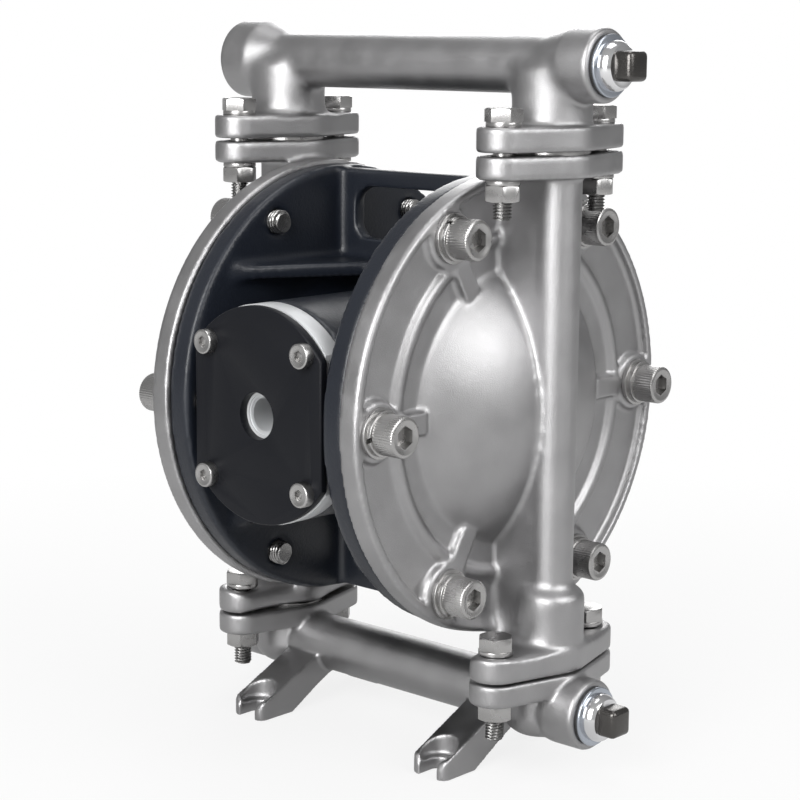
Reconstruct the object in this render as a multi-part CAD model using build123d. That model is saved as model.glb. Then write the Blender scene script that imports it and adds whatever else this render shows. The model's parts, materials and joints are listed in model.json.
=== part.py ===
from build123d import *
import math
import os

# An air operated double diaphragm pump. It is drawn about the middle of its diaphragm shaft:
# X along the shaft, Y towards the back, Z up. At the end every piece is lifted by axis_height,
# so that the feet stand on z = 0. The left half mirrors the right half unless a piece says so.

# Driving dimensions in millimetres: the whole pump
axis_height = 146.6
body_half_width = 48.7
flange_thickness = 10.5
body_radius = 92.7
port_face = 99.8
riser_offset = 73.2

# Driving dimensions: centre body
housing_radius = 44.0
housing_front = 76.5
housing_back = 70.0
hub_radius = 42.0
hub_wall = 3.5
hub_flare = 1.5
web_thickness = 6.0
web_top = 91.6
window_half_width = 30.0
window_bottom = 62.0
window_top = 84.0
window_corner = 9.0
shelf_level = 53.8
shelf_thickness = 5.8
shelf_reach = 72.0
shelf_middle = 11.0
shelf_waist = (11.9, 39.7)
shelf_swell = 4.8
body_edge = 1.2
dish_radius = 38.5
dish_shoulder = (46.0, 7.3)
exhaust_pad = 3.0

# Driving dimensions: fluid covers
cover_radius = 94.0
cover_plate = 5.6
rim_height = 3.5
rim_width = 3.8
rib_radius = 69.0
rib_width = 2.8
rib_height = 2.3
rib_draft = 1.8
dome_centre = -2.4
dome_radius = 80.0
dome_wall = 4.0
dome_fillet = 3.5
boss_radius = 12.2
boss_height = 3.3
boss_draft = 0.3
mouth_relief = 0.8
rim_fillet = 1.4
rim_edge = 0.8
tab_width = 9.0
tab_inner = 54.0
tab_height = 3.6
riser_axis = 77.0
riser_top_radius = 9.5
riser_bottom_radius = 8.9
riser_bore = 6.4
bulge_radius = 13.9
bulge_top = -76.5
bulge_shoulder = 8.5
web_draft = 0.6

# Driving dimensions: two-bolt flanges, levels measured from the shaft
lobe_radius = 10.4
lobe_offset = 29.5
flange_middle = 18.4
flange_edge = 1.2
top_flange = (93.2, 102.3)
top_gap = 1.3
outlet_flange_thickness = 9.6
bottom_flange = (-104.6, -94.3)
bottom_gap = 0.7
inlet_flange_thickness = 9.2

# Driving dimensions: outlet and inlet manifolds
outlet_level = 136.3
outlet_pipe = 11.3
outlet_bore = 8.0
outlet_boss = 16.5
plugged_boss = 14.4
inlet_level = -121.1
inlet_pipe = 12.0
inlet_bore = 8.0
inlet_boss = 14.4
neck_radius = 16.0
neck_drop = 0.7
neck_turn = 3.0
neck_foot = 8.0
neck_round = (2.2, 1.2)
boss_length = 15.0
boss_taper = 13.0
boss_chamfer = 1.0
boss_fillet = 6.0
pipe_fillet = 12.0

# Driving dimensions: feet
foot_centre = 52.7
foot_width = 18.0
foot_slot = 39.5
foot_slot_radius = 4.5
foot_toe = 46.5
foot_toe_corner = 3.0
foot_toe_height = 5.2
foot_toe_edge = 1.4
foot_web = 4.6
foot_seat_radius = 7.6
foot_heel = 27.0
foot_root = (11.5, -123.5)
foot_slope = 0.46

# Driving dimensions: check valves
ball_radius = 8.0
ball_lift = 5.0
seat_radius = 15.5
seat_height = 4.3
seat_hole = 5.2
seat_chamfer = 0.9
seat_seal_radius = 12.5
seal_section = 1.0
cage_clearance = 0.4
cage_bore = 9.9
cage_rib = 2.4
outlet_cage_bore = 10.6
outlet_way = 7.0
cage_lug = 5.0
cage_lug_height = 4.0

# Driving dimensions: diaphragms, plates and shaft
clamp_radius = 75.0
diaphragm_mouth = 64.0
diaphragm_thickness = 3.0
diaphragm_roll = 3.4
diaphragm_flat = 2.0
plate_radius = 35.0
plate_rim = 3.5
plate_hub = (13.0, 18.0, 22.0)
plate_hub_rise = 0.6
plate_chamfer = 1.4
outer_plate_radius = 34.0
outer_plate_dome = 7.6
outer_plate_rim = 2.4
outer_plate_edge = 1.0
outer_plate_fullness = 0.72
stud_radius = 5.0
stud_length = 12.0
shaft_radius = 9.0
shaft_half = 41.0
stroke = 7.0
plate_air_gap = 3.2
bush_radius = 12.0
bush_length = 14.0
bush_inset = 5.5
shaft_seal_length = 3.0
pilot_radius = 3.0
pilot_half = 39.2
pilot_place = (20.0, 20.0)
pilot_groove = (20.0, 1.7, 1.4)
pilot_waist = (8.0, 6.0, 2.0)
lip_chamfer = 0.9

# Driving dimensions: air valve
plate_outline = 43.4
plate_side_gap = 2.8
plate_thickness = 3.4
valve_plate_edge = 0.5
plate_hole = 9.4
valve_outline = 43.8
valve_side_gap = 4.0
valve_flange = 8.6
body_gasket_thickness = 1.0
gasket_thickness = 0.5
spigot_radius = 31.8
spigot_length = 40.0
spigot_clearance = 0.2
air_thread = 8.33
air_thread_depth = 12.0
air_passage = 4.5
sleeve_radius = 11.0
sleeve_half = 24.0
spool_radius = 7.0
spool_half = 20.0
spool_waist = 4.4
spool_pitch = 8.5
spool_gap = 8.0
spool_place = 57.0
cap_height = 3.6
exhaust_level = -18.0
exhaust_bore = 4.8
exhaust_boss = 14.0
exhaust_thread = 8.33
exhaust_depth = 13.0
chamber_way = (48.0, 14.0)
chamber_way_radius = 3.0

# Driving dimensions: fasteners and plugs
bolt_circle = 81.5
cover_screw_radius = 5.0
cover_screw_head = 8.0
cover_screw_head_height = 10.0
cover_screw_length = 27.0
cover_screw_socket = 8.0
flat_washer_radius = 10.0
flat_washer_thickness = 1.8
spring_washer_radius = 8.9
spring_washer_thickness = 2.2
spring_washer_gap = 1.6
washer_cut_slant = 25.0
cover_washer_turn = 100.0
flange_washer_turn = 200.0
thread_tip = 0.8
screw_head_round = 0.5
flange_bolt_radius = 4.0
flange_bolt_length = 35.0
hex_across_flats = 13.0
hex_head_height = 5.3
hex_nut_height = 6.5
top_head_turn = 30.0
hex_turn = 8.0
hex_slope = 30.0
hex_face_step = 0.1
flange_washer_radius = 6.9
flange_washer_thickness = 1.9
valve_screw_radius = 3.0
valve_screw_place = 27.0
valve_screw_head = 5.0
valve_screw_head_height = 4.0
valve_screw_length = 25.0
valve_screw_socket = 4.0
screw_end_room = 2.0
plug_thread = 10.45
plug_length = 12.0
plug_collar = 12.0
plug_collar_height = 1.4
plug_seal_height = 0.8
plug_shoulder = 9.8
plug_shoulder_height = 4.4
plug_round = 0.5
plug_neck = 6.9
plug_edge = 1.0
plug_square = 11.5
plug_square_height = 8.2
port_thread = 13.2
port_depth = 16.0

# Clearances, each a gap per side
running = 0.05
loose = 0.5
fitted = 0.03
resting = 0.02
snug = 0.3

# Places worked out from the sizes above
flange_inner = body_half_width - flange_thickness
floor = body_half_width + cover_plate
rim_top = floor + rim_height
boss_top = floor + boss_height
shelf_bottom = shelf_level - shelf_thickness
half_thickness = diaphragm_thickness / 2
dish_floor = body_half_width - half_thickness - plate_rim - stroke - plate_air_gap
bolt_angles = [60.0 * step for step in range(6)]
screw_seat = boss_top + flat_washer_thickness + spring_washer_thickness
outlet_flange = (top_flange[1] + top_gap, top_flange[1] + top_gap + outlet_flange_thickness)
inlet_flange = (bottom_flange[0] - bottom_gap - inlet_flange_thickness, bottom_flange[0] - bottom_gap)
ball_rise = ball_radius * math.sqrt(2) - seat_hole - seat_chamfer + resting
outlet_ball_level = outlet_flange[0] + ball_rise
inlet_ball_level = bottom_flange[0] + ball_rise
stop_rise = ball_lift + math.sqrt(ball_radius**2 - cage_lug**2) + resting
gasket_face = housing_front + body_gasket_thickness
valve_face = gasket_face + valve_flange
plate_front = valve_face + gasket_thickness + plate_thickness
plate_flat = flange_inner - plate_side_gap
valve_flat = flange_inner - valve_side_gap


def bar_x(radius, start, end, y=0.0, z=0.0):
    """A round bar along X."""
    return Pos((start + end) / 2, y, z) * Rot(0, 90, 0) * Cylinder(radius, abs(end - start))


def bar_y(radius, start, end, x=0.0, z=0.0):
    """A round bar along Y."""
    return Pos(x, (start + end) / 2, z) * Rot(90, 0, 0) * Cylinder(radius, abs(end - start))


def bar_z(radius, start, end, x=0.0, y=0.0):
    """A round bar along Z."""
    return Pos(x, y, (start + end) / 2) * Cylinder(radius, abs(end - start))


def block(x_range, y_range, z_range):
    """A box between two corners."""
    centre = [(low + high) / 2 for low, high in (x_range, y_range, z_range)]
    return Pos(*centre) * Box(*[high - low for low, high in (x_range, y_range, z_range)])


def turned_x(points):
    """A solid turned about X from (x, radius) points."""
    return revolve(make_face(Polyline(*points, close=True)), Axis.X)


def turned_z(points):
    """A solid turned about Z from (radius, z) points."""
    return revolve(make_face(Plane.XZ * Polyline(*points, close=True)), Axis.Z)


def ring_z(radius, section, level):
    """A round-section seal ring about Z."""
    return Pos(0, 0, level) * Torus(radius, section)


def mirrored(shape):
    """The left-hand twin of a right-hand piece."""
    return mirror(shape, Plane.YZ)


def circle_edges(shape, x, radius):
    """The edges that run round the X axis at one station and radius."""
    found = shape.edges().filter_by(GeomType.CIRCLE)
    found = found.filter_by(lambda edge: abs(edge.center().X - x) < 0.05)
    return found.filter_by(lambda edge: abs(edge.radius - radius) < 0.05)


def on_bolt_circle(shape):
    """Copies of a piece at the six cover screws, from one drawn at +Y."""
    return [Rot(angle, 0, 0) * shape for angle in bolt_angles]


def flange_plan():
    """The two-bolt flange outline: a middle circle and two lobes under one tight skin."""
    middle = Circle(flange_middle)
    lobes = [Pos(0, side * lobe_offset) * Circle(lobe_radius) for side in (-1, 1)]
    outline = middle.edges() + lobes[0].edges() + lobes[1].edges()
    return make_hull(outline)


def two_bolt_flange(levels):
    """One flange with its bolt holes and softened rims, at the riser."""
    low, high = levels
    plate = extrude(flange_plan(), high - low)
    rims = plate.edges().filter_by(lambda edge: abs(edge.center().Z - (high - low) / 2) > 0.1)
    plate = fillet(rims, flange_edge)
    plate = Pos(riser_offset, 0, low) * plate
    for side in (-1, 1):
        hole = bar_z(flange_bolt_radius + loose, low - 1, high + 1, riser_offset, side * lobe_offset)
        plate = plate - hole
    return plate


# Centre body: two clamping flanges, the round valve housing across them, and the
# horizontal shelves and upright windowed webs that tie the flanges together.
def shelf_outline():
    """The shelf seen from above: full depth at the flanges, waisted in the middle."""
    corner = (flange_inner + 1, shelf_reach)
    waist = (flange_inner - shelf_waist[0], shelf_waist[1])
    inner = (waist[0] / 2, shelf_middle + shelf_swell)
    lines = []
    for side in (-1, 1):
        right = [(corner[0], side * corner[1]), (waist[0], side * waist[1]), (inner[0], side * inner[1])]
        left = [(-x, y) for x, y in right]
        lines.append(ThreePointArc(*right))
        lines.append(ThreePointArc(right[2], (0, side * shelf_middle), left[2]))
        lines.append(ThreePointArc(*left))
    lines.append(Line(lines[0] @ 0, lines[3] @ 0))
    lines.append(Line(lines[2] @ 0, lines[5] @ 0))
    return make_face(Wire(lines))


def centre_body():
    reach = flange_inner + 1
    flange = bar_x(body_radius, flange_inner, body_half_width)
    rims = [circle_edges(flange, face, body_radius) for face in (flange_inner, body_half_width)]
    flange = fillet(rims[0] + rims[1], body_edge)

    housing = bar_y(housing_radius, -housing_front, housing_back)
    cut = housing_radius + 1
    housing = housing & block((-reach, reach), (-housing_front - 1, housing_back + 1), (-cut, cut))
    body = flange + mirrored(flange) + housing

    # The hub under the housing, flared out to carry the wall of each air chamber
    wall_start, mouth = dish_floor - hub_wall, dish_shoulder[0] + hub_flare
    hub = turned_x([(0, 0), (0, hub_radius), (wall_start, hub_radius), (reach, mouth), (reach, 0)])
    body = body + hub + mirrored(hub)

    shelf = extrude(shelf_outline(), shelf_thickness)
    half_web = web_thickness / 2
    web = block((-reach, reach), (-half_web, half_web), (shelf_bottom, web_top))
    window = Rectangle(2 * window_half_width, window_top - window_bottom)
    window = fillet(window.vertices(), window_corner)
    window = extrude(Plane.XZ * window, web_thickness, both=True)
    web = web - Pos(0, 0, (window_bottom + window_top) / 2) * window
    upper = Pos(0, 0, shelf_bottom) * shelf + web
    body = body + upper + mirror(upper, Plane.XY)

    # The exhaust boss at the back
    thread_end = housing_back + exhaust_pad
    body = body + bar_y(exhaust_boss, housing_back - 1, thread_end, 0, exhaust_level)

    # The dished air chamber and the recess for the diaphragm's rim, on both sides
    dish = [
        (body_half_width + 1, 0),
        (body_half_width + 1, clamp_radius + fitted),
        (body_half_width - half_thickness, clamp_radius + fitted),
        (body_half_width - half_thickness, diaphragm_mouth),
        (body_half_width - dish_shoulder[1], dish_shoulder[0]),
        (dish_floor, dish_radius),
        (dish_floor, 0),
    ]
    chamber = turned_x(dish)
    body = body - chamber - mirrored(chamber)

    # Bores for the shaft, its bushes and seals, and the pilot rod
    seat_end = dish_floor - bush_inset
    bush_bore = bar_x(bush_radius + fitted, seat_end - bush_length, dish_floor + 1)
    body = body - bar_x(shaft_radius + loose, -dish_floor, dish_floor)
    body = body - bush_bore - mirrored(bush_bore)
    body = body - bar_x(pilot_radius + running, -dish_floor - 1, dish_floor + 1, *pilot_place)

    # The pocket for the air valve, the exhaust way to the back and a way to each chamber
    pocket_floor = gasket_face - spigot_length - spigot_clearance
    body = body - bar_y(spigot_radius + spigot_clearance, -housing_front - 1, -pocket_floor)
    body = body - bar_y(exhaust_bore, -pocket_floor - 1, housing_back, 0, exhaust_level)
    body = body - bar_y(exhaust_thread, thread_end - exhaust_depth, thread_end + 1, 0, exhaust_level)
    for side in (-1, 1):
        start, end = side * spigot_radius / 2, side * body_half_width
        body = body - bar_x(chamber_way_radius, start, end, -chamber_way[0], side * chamber_way[1])

    # Threaded holes for the cover screws and the valve cover screws
    screw_hole = bar_x(cover_screw_radius + fitted, flange_inner - 1, body_half_width + 1, bolt_circle)
    for hole in on_bolt_circle(screw_hole):
        body = body - hole - mirrored(hole)
    depth = plate_front - valve_screw_length - screw_end_room
    for x in (-valve_screw_place, valve_screw_place):
        for z in (-valve_screw_place, valve_screw_place):
            body = body - bar_y(valve_screw_radius + fitted, -housing_front - 1, -depth, x, z)
    return body


def ball_cage(bore, low, ball_level, angles):
    """The room cut for a ball: a bore about Z, less the guide ribs and the lugs that stop the ball."""
    stop = ball_level + stop_rise
    high = stop + cage_lug_height
    cage = bar_z(bore, low, high)
    inner, half = ball_radius + cage_clearance, cage_rib / 2
    rib = block((inner, bore + 1), (-half, half), (low - 1, high + 1))
    lug = block((cage_lug, bore + 1), (-half, half), (stop, high + 1))
    for angle in angles:
        cage = cage - Rot(0, 0, angle) * (rib + lug)
    return cage


# Fluid cover: a clamping plate with a raised rim, a raised rib ring, a domed chamber,
# six screw bosses, and the riser column that carries the liquid up the outside.
def dome_cap(radius, start):
    """A slice of the chamber's sphere, from one station along X out to its crown."""
    rise = start - dome_centre
    edge = math.sqrt(radius**2 - rise**2)
    half_turn = math.atan2(edge, rise) / 2
    middle = (dome_centre + radius * math.cos(half_turn), radius * math.sin(half_turn))
    crown = (dome_centre + radius, 0)
    rim, foot = (start, edge), (start, 0)
    outline = Wire([ThreePointArc(crown, middle, rim), Line(rim, foot), Line(foot, crown)])
    return revolve(make_face(outline), Axis.X)


def cover_shell():
    """The turned form of the cover, before its bosses and riser."""
    plate = bar_x(cover_radius, body_half_width, floor)
    rim = bar_x(cover_radius, floor, rim_top) - bar_x(cover_radius - rim_width, floor - 1, rim_top + 1)
    half = rib_width / 2
    rib = turned_x([
        (floor - 1, rib_radius - half - rib_draft),
        (floor, rib_radius - half - rib_draft),
        (floor + rib_height, rib_radius - half),
        (floor + rib_height, rib_radius + half),
        (floor, rib_radius + half + rib_draft),
        (floor - 1, rib_radius + half + rib_draft),
    ])
    shell = plate + rim + rib + dome_cap(dome_radius, body_half_width + 1)
    foot = math.sqrt(dome_radius**2 - (floor - dome_centre) ** 2)
    shell = fillet(circle_edges(shell, floor, foot), dome_fillet)
    shell = fillet(circle_edges(shell, floor, cover_radius - rim_width), rim_fillet)
    shell = fillet(circle_edges(shell, rim_top, cover_radius), rim_edge)
    return shell


def riser():
    """The column with its draft, the wall that joins it to the dome, and the lower bulge."""
    low, high = bottom_flange[1] - 1, top_flange[0] + 1
    column = loft([
        Pos(riser_axis, 0, low) * Circle(riser_bottom_radius),
        Pos(riser_axis, 0, high) * Circle(riser_top_radius),
    ])
    depth = riser_axis - body_half_width - 1
    middle = body_half_width + 1 + depth / 2
    wall = loft([
        Pos(middle, 0, low) * Rectangle(depth, 2 * riser_bottom_radius - web_draft),
        Pos(middle, 0, high) * Rectangle(depth, 2 * riser_top_radius - web_draft),
    ])
    return column + wall + Pos(riser_axis, 0, 0) * riser_bulge(low)


def riser_bulge(low):
    """The swelling round the inlet ball, with a shoulder of two equal arcs up to the column."""
    run, rise = (bulge_radius - riser_bottom_radius) / 2, bulge_shoulder / 2
    turn = 2 * math.atan2(run, rise)
    swing = rise / math.sin(turn)
    inset, lift = swing * (1 - math.cos(turn / 2)), swing * math.sin(turn / 2)
    base, top = (bulge_radius, bulge_top), (riser_bottom_radius, bulge_top + bulge_shoulder)
    waist = (bulge_radius - run, bulge_top + rise)
    lines = [
        Line((0, low), (bulge_radius, low)),
        Line((bulge_radius, low), base),
        ThreePointArc(base, (bulge_radius - inset, bulge_top + lift), waist),
        ThreePointArc(waist, (riser_bottom_radius + inset, top[1] - lift), top),
        Line(top, (0, top[1])),
        Line((0, top[1]), (0, low)),
    ]
    return revolve(make_face(Plane.XZ * Wire(lines)), Axis.Z)


def fluid_cover():
    cover = cover_shell()
    boss = turned_x([
        (body_half_width + 1, 0),
        (body_half_width + 1, boss_radius + boss_draft),
        (boss_top, boss_radius - boss_draft),
        (boss_top, 0),
    ])
    half_tab = tab_width / 2
    tab = block((body_half_width + 1, floor + tab_height), (tab_inner, rib_radius), (-half_tab, half_tab))
    for piece in on_bolt_circle(Pos(0, bolt_circle, 0) * boss) + on_bolt_circle(tab):
        cover = cover + piece
    cover = cover + riser() + two_bolt_flange(top_flange) + two_bolt_flange(bottom_flange)

    # The chamber under the dome and the recess for the diaphragm's rim
    hollow = dome_cap(dome_radius - dome_wall, body_half_width - 1)
    mouth = bar_x(diaphragm_mouth, body_half_width - 1, body_half_width + half_thickness + mouth_relief)
    recess = bar_x(clamp_radius + fitted, body_half_width - 1, body_half_width + half_thickness)
    cover = cover - hollow - mouth - recess

    # The way up the riser, above the cage of the inlet ball, and the outlet seat's recess
    cage = ball_cage(cage_bore, bottom_flange[0] - 1, inlet_ball_level, (90, 210, 330))
    cage_top = inlet_ball_level + stop_rise + cage_lug_height
    way = turned_z([
        (0, cage_top),
        (cage_bore, cage_top),
        (riser_bore, cage_top + cage_bore - riser_bore),
        (riser_bore, top_flange[1] + 1),
        (0, top_flange[1] + 1),
    ])
    seat_depth = seat_height - top_gap
    recess = bar_z(seat_radius + running, top_flange[1] - seat_depth, top_flange[1] + 1)
    for hollow in (cage, way, recess):
        cover = cover - Pos(riser_offset, 0, 0) * hollow

    # Clearance holes and level seats for the cover screws and their washers
    hole = bar_x(cover_screw_radius + loose, body_half_width - 1, boss_top + 1, bolt_circle)
    seat = bar_x(flat_washer_radius + loose, boss_top, boss_top + flat_washer_radius, bolt_circle)
    for piece in on_bolt_circle(hole + seat):
        cover = cover - piece
    return cover


# Manifolds: a pipe with a swollen boss at each end and a neck down or up to each cover
def manifold_pipe(level, pipe, left_boss, right_boss):
    """The turned outside of a manifold pipe, lying along X at its own level."""
    start, end = port_face - boss_length, port_face - boss_length - boss_taper
    points = [
        (-port_face, 0),
        (-port_face, left_boss - boss_chamfer),
        (-port_face + boss_chamfer, left_boss),
        (-start, left_boss),
        (-end, pipe),
        (end, pipe),
        (start, right_boss),
        (port_face - boss_chamfer, right_boss),
        (port_face, right_boss - boss_chamfer),
        (port_face, 0),
    ]
    pipe_solid = turned_x(points)
    shoulders = circle_edges(pipe_solid, -start, left_boss) + circle_edges(pipe_solid, start, right_boss)
    pipe_solid = fillet(shoulders, boss_fillet)
    hollows = circle_edges(pipe_solid, -end, pipe) + circle_edges(pipe_solid, end, pipe)
    pipe_solid = fillet(hollows, pipe_fillet)
    return Pos(0, 0, level) * pipe_solid


def outlet_manifold():
    body = manifold_pipe(outlet_level, outlet_pipe, outlet_boss, plugged_boss)
    neck = bar_z(neck_radius, outlet_flange[0] + 1, outlet_level, riser_offset)
    body = body + neck + mirrored(neck)
    flange = two_bolt_flange(outlet_flange)
    body = body + flange + mirrored(flange)

    # The pipe bore, the threaded port on the left and the plugged one on the right
    body = body - bar_x(outlet_bore, -port_face, port_face, 0, outlet_level)
    body = body - bar_x(port_thread, -port_face - 1, -port_face + port_depth, 0, outlet_level)
    body = body - bar_x(plug_thread + fitted, port_face - port_depth, port_face + 1, 0, outlet_level)

    # The ball cages in the necks, and the ways up from them into the pipe
    cage = ball_cage(outlet_cage_bore, outlet_flange[0] - 1, outlet_ball_level, (45, 135, 225, 315))
    cage_top = outlet_ball_level + stop_rise + cage_lug_height
    for x in (-riser_offset, riser_offset):
        body = body - Pos(x, 0, 0) * cage - bar_z(outlet_way, cage_top, outlet_level, x)
    return body


def foot_profile():
    """The side view of one foot, as (y, z) points from the pipe down to the toe."""
    ground = -axis_height
    root_y, root_z = foot_root
    toe_top = ground + foot_toe_height
    slope_end = min(root_y + (root_z - toe_top) / foot_slope, foot_toe - foot_toe_edge)
    return [
        (0, inlet_level),
        (root_y, root_z),
        (slope_end, root_z - foot_slope * (slope_end - root_y)),
        (foot_toe, toe_top - foot_toe_edge / 2),
        (foot_toe, ground),
        (foot_heel, ground),
        (root_y, inlet_level - inlet_pipe - foot_web),
        (0, inlet_level - inlet_pipe + 1),
    ]


def one_foot():
    """A foot at the right front: a sloping arm, a rounded toe, an open slot and its seat."""
    ground = -axis_height
    profile = make_face(Polyline(*[(-y, z) for y, z in foot_profile()], close=True))
    arm = extrude(Plane.YZ * profile, foot_width / 2, both=True)
    plan = Pos(0, -foot_toe / 2) * Rectangle(foot_width, foot_toe)
    plan = fillet(plan.vertices().filter_by(lambda vertex: vertex.Y < -1), foot_toe_corner)
    arm = arm & Pos(0, 0, ground - 1) * extrude(plan, axis_height)
    slot = bar_z(foot_slot_radius, ground - 1, 0, 0, -foot_slot)
    slot = slot + block((-foot_slot_radius, foot_slot_radius), (-foot_toe - 5, -foot_slot), (ground - 1, 0))
    seat = bar_z(foot_seat_radius, ground + foot_toe_height, 0, 0, -foot_slot)
    return Pos(foot_centre, 0, 0) * (arm - slot - seat)


def inlet_neck():
    """The neck over the inlet pipe, rounded off underneath."""
    top, low = inlet_flange[1] - 1, inlet_level - inlet_pipe - neck_drop
    turn = inlet_level - neck_turn
    middle = (neck_radius - neck_round[0], (turn + low) / 2 - neck_round[1])
    lines = [
        Line((0, top), (neck_radius, top)),
        Line((neck_radius, top), (neck_radius, turn)),
        ThreePointArc((neck_radius, turn), middle, (neck_foot, low)),
        Line((neck_foot, low), (0, low)),
        Line((0, low), (0, top)),
    ]
    return revolve(make_face(Plane.XZ * Wire(lines)), Axis.Z)


def inlet_manifold():
    body = manifold_pipe(inlet_level, inlet_pipe, inlet_boss, plugged_boss)
    neck = inlet_neck()
    body = body + Pos(riser_offset, 0, 0) * neck + Pos(-riser_offset, 0, 0) * neck
    flange = two_bolt_flange(inlet_flange)
    body = body + flange + mirrored(flange)
    foot = one_foot()
    for piece in (foot, mirrored(foot), mirror(foot, Plane.XZ), mirrored(mirror(foot, Plane.XZ))):
        body = body + piece

    # The pipe bore and its two threaded ends, and the ways up to the valve seats
    body = body - bar_x(inlet_bore, -port_face, port_face, 0, inlet_level)
    seat_low = inlet_flange[1] - (seat_height - bottom_gap)
    for side in (-1, 1):
        ends = (side * (port_face - port_depth), side * (port_face + 1))
        body = body - bar_x(plug_thread + fitted, ends[0], ends[1], 0, inlet_level)
        body = body - bar_z(seat_hole, inlet_level, inlet_flange[1] + 1, side * riser_offset)
        body = body - bar_z(seat_radius + running, seat_low, inlet_flange[1] + 1, side * riser_offset)
    return body


# Check valves: a seat ring with its seal under each ball
def valve_seat(top):
    """A seat ring: flat faces, a chamfer for the ball and a groove for the seal below."""
    inner = seat_seal_radius - seal_section - fitted
    outer = seat_seal_radius + seal_section + fitted
    low = top - seat_height
    groove = low + 2 * seal_section
    return turned_z([
        (seat_hole, low),
        (inner, low),
        (inner, groove),
        (outer, groove),
        (outer, low),
        (seat_radius, low),
        (seat_radius, top),
        (seat_hole + seat_chamfer, top),
        (seat_hole, top - seat_chamfer),
    ])


def at_both_risers(shape):
    """Two copies of a piece, over the left and the right riser."""
    return [Pos(-riser_offset, 0, 0) * shape, Pos(riser_offset, 0, 0) * shape]


# Diaphragm assembly
def diaphragm():
    """A sheet with a rolled convolution between the plates and the clamped rim."""
    inner, outer = plate_radius + diaphragm_flat, diaphragm_mouth - diaphragm_flat
    middle, roll = (inner + outer) / 2, diaphragm_roll
    near, far = body_half_width - half_thickness, body_half_width + half_thickness
    lines = [
        Line((near, stud_radius + loose), (near, inner)),
        ThreePointArc((near, inner), (near - roll, middle), (near, outer)),
        Line((near, outer), (near, clamp_radius)),
        Line((near, clamp_radius), (far, clamp_radius)),
        Line((far, clamp_radius), (far, outer)),
        ThreePointArc((far, outer), (far - roll, middle), (far, inner)),
        Line((far, inner), (far, stud_radius + loose)),
        Line((far, stud_radius + loose), (near, stud_radius + loose)),
    ]
    return revolve(make_face(Wire(lines)), Axis.X)


def inner_plate():
    """The air-side plate, with a thick hub that bears on the end of the shaft."""
    back = body_half_width - half_thickness
    rim = back - plate_rim
    return turned_x([
        (shaft_half, stud_radius + running),
        (shaft_half, plate_hub[0]),
        (rim + plate_hub_rise, plate_hub[1]),
        (rim, plate_hub[2]),
        (rim, plate_radius - plate_chamfer),
        (rim + plate_chamfer, plate_radius),
        (back, plate_radius),
        (back, stud_radius + running),
    ])


def outer_plate():
    """The liquid-side plate: a shallow dome with the stud that screws into the shaft."""
    front = body_half_width + half_thickness
    rim, crown = front + outer_plate_rim, front + outer_plate_dome
    side = outer_plate_radius
    middle = (rim + (crown - rim) * outer_plate_fullness, (side + stud_radius) / 2)
    edge = side - outer_plate_edge
    lines = [
        Line((front, 0), (front, edge)),
        ThreePointArc((front, edge), ((front + rim) / 2, side), (rim, edge)),
        ThreePointArc((rim, edge), middle, (crown, stud_radius)),
        Line((crown, stud_radius), (crown, 0)),
        Line((crown, 0), (front, 0)),
    ]
    plate = revolve(make_face(Wire(lines)), Axis.X)
    return plate + bar_x(stud_radius, shaft_half - stud_length, front + 1)


def diaphragm_shaft():
    bar = bar_x(shaft_radius, -shaft_half, shaft_half)
    ends = circle_edges(bar, shaft_half, shaft_radius) + circle_edges(bar, -shaft_half, shaft_radius)
    bar = chamfer(ends, 1.0)
    hole = bar_x(stud_radius + running, shaft_half - stud_length - 1, shaft_half + 1)
    return bar - hole - mirrored(hole)


def shaft_bush():
    end = dish_floor - bush_inset
    start = end - bush_length
    return bar_x(bush_radius, start, end) - bar_x(shaft_radius + running, start - 1, end + 1)


def shaft_seal():
    """A lip seal in front of its bush."""
    start = dish_floor - bush_inset + loose / 2
    end, lip = start + shaft_seal_length, shaft_radius + running
    return turned_x([
        (start, lip + lip_chamfer),
        (start, bush_radius),
        (end, bush_radius),
        (end, lip),
        (end - lip_chamfer, lip),
    ])


def pilot_rod():
    """The rod that the inner plates nudge over, with two waists and two seal grooves."""
    points = [(-pilot_half, 0), (-pilot_half, pilot_radius)]
    cuts = ((-1, pilot_groove), (-1, pilot_waist), (1, pilot_waist), (1, pilot_groove))
    for side, (place, width, radius) in cuts:
        start, end = side * place - width / 2, side * place + width / 2
        points += [(start, pilot_radius), (start, radius), (end, radius), (end, pilot_radius)]
    points += [(pilot_half, pilot_radius), (pilot_half, 0)]
    return Pos(0, *pilot_place) * turned_x(points)


def pilot_seal(side):
    """A seal ring that fills its groove in the pilot rod."""
    place, _, groove = pilot_groove
    ring = Torus((pilot_radius + groove) / 2, (pilot_radius - groove) / 2 - resting)
    return Pos(side * place, *pilot_place) * Rot(0, 90, 0) * ring


# Air valve: a round cover over a cartridge that holds a sleeve and a spool
def flatted_disc(radius, flat, front, thickness):
    """A round plate facing the front with a flat on each side."""
    disc = bar_y(radius, -front, -front + thickness)
    return disc & block((-flat, flat), (-front - 1, -front + thickness + 1), (-radius, radius))


def valve_screw_holes(front, back):
    holes = []
    for x in (-valve_screw_place, valve_screw_place):
        for z in (-valve_screw_place, valve_screw_place):
            holes.append(bar_y(valve_screw_radius + snug, -front - 1, -back + 1, x, z))
    return holes


def drilled(plate, front, back, hole_radius):
    """A plate with its four screw holes and its middle hole."""
    plate = plate - bar_y(hole_radius, -front - 1, -back + 1)
    for hole in valve_screw_holes(front, back):
        plate = plate - hole
    return plate


def valve_cover():
    plate = flatted_disc(plate_outline, plate_flat, plate_front, plate_thickness)
    rims = plate.edges().filter_by(lambda edge: abs(edge.center().Y + plate_front) < 0.01)
    plate = chamfer(rims, valve_plate_edge)
    return drilled(plate, plate_front, plate_front - plate_thickness, plate_hole)


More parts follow.
